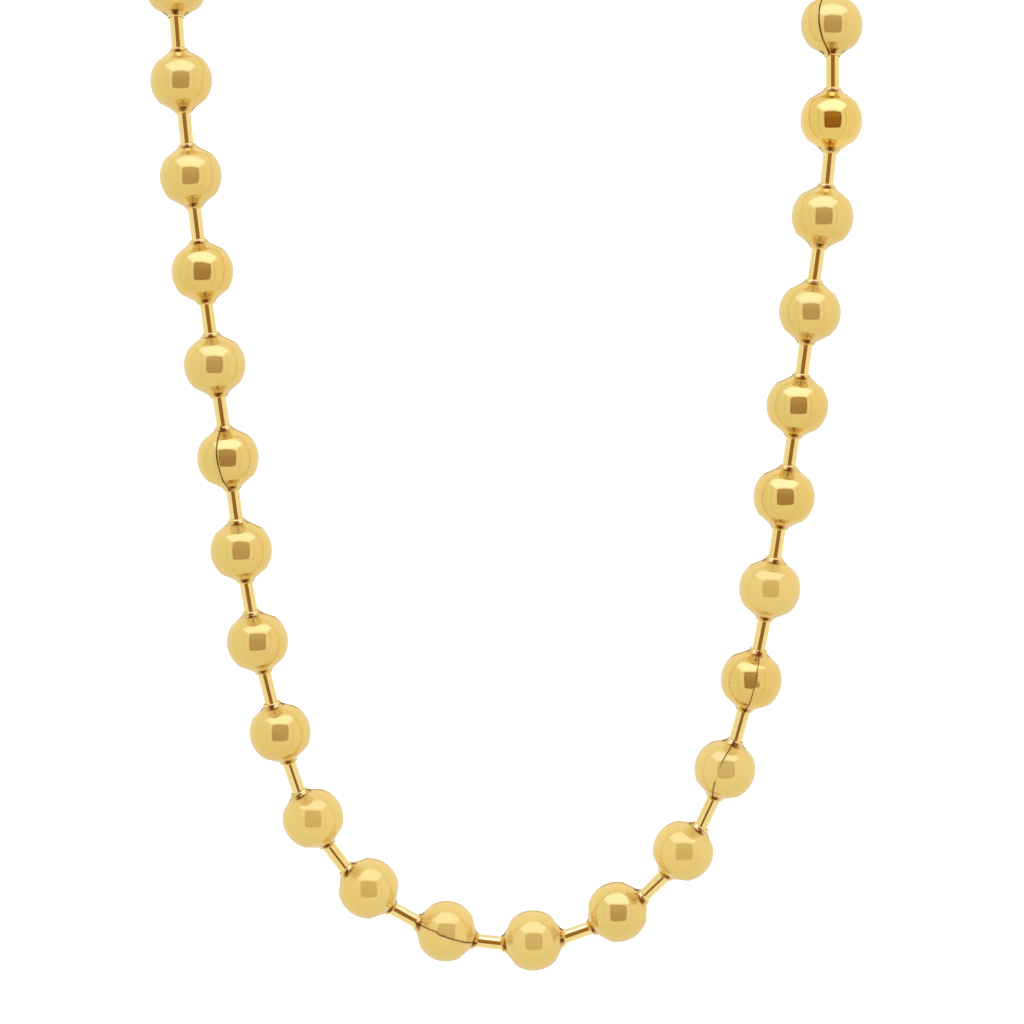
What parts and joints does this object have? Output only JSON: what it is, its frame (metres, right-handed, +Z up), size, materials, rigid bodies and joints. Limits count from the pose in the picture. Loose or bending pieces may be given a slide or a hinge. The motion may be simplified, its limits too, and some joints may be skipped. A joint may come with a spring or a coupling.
{
  "type": "ball chain necklace",
  "caption": "Ball chain necklace in its worn form: a closed loop of polished hollow round beads on round-headed link bars, with a plain snap connector at the nape.",
  "frame": {"origin": "middle of the chain's thickness at the nape, inside the connector, where the back of the neck carries the loop", "axes": "+X to the right as seen from the front, -Y to the front where the drop of the loop lies, +Z up towards the nape"},
  "size_m": [0.1158, 0.0914, 0.1989],
  "materials": {
    "polished_gold": "polished"
  },
  "bodies": {
    "root": {"bead_01": "polished_gold", "bead_02": "polished_gold", "bead_03": "polished_gold", "bead_04": "polished_gold", "bead_05": "polished_gold", "bead_06": "polished_gold", "bead_07": "polished_gold", "bead_08": "polished_gold", "bead_09": "polished_gold", "bead_10": "polished_gold", "bead_11": "polished_gold", "bead_12": "polished_gold", "bead_13": "polished_gold", "bead_14": "polished_gold", "bead_15": "polished_gold", "bead_16": "polished_gold", "bead_17": "polished_gold", "bead_18": "polished_gold", "bead_19": "polished_gold", "bead_20": "polished_gold", "bead_21": "polished_gold", "bead_22": "polished_gold", "bead_23": "polished_gold", "bead_24": "polished_gold", "bead_25": "polished_gold", "bead_26": "polished_gold", "bead_27": "polished_gold", "bead_28": "polished_gold", "bead_29": "polished_gold", "bead_30": "polished_gold", "bead_31": "polished_gold", "bead_32": "polished_gold", "bead_33": "polished_gold", "bead_34": "polished_gold", "bead_35": "polished_gold", "bead_36": "polished_gold", "link_bars": "polished_gold", "connector": "polished_gold"}
  },
  "joints": []
}
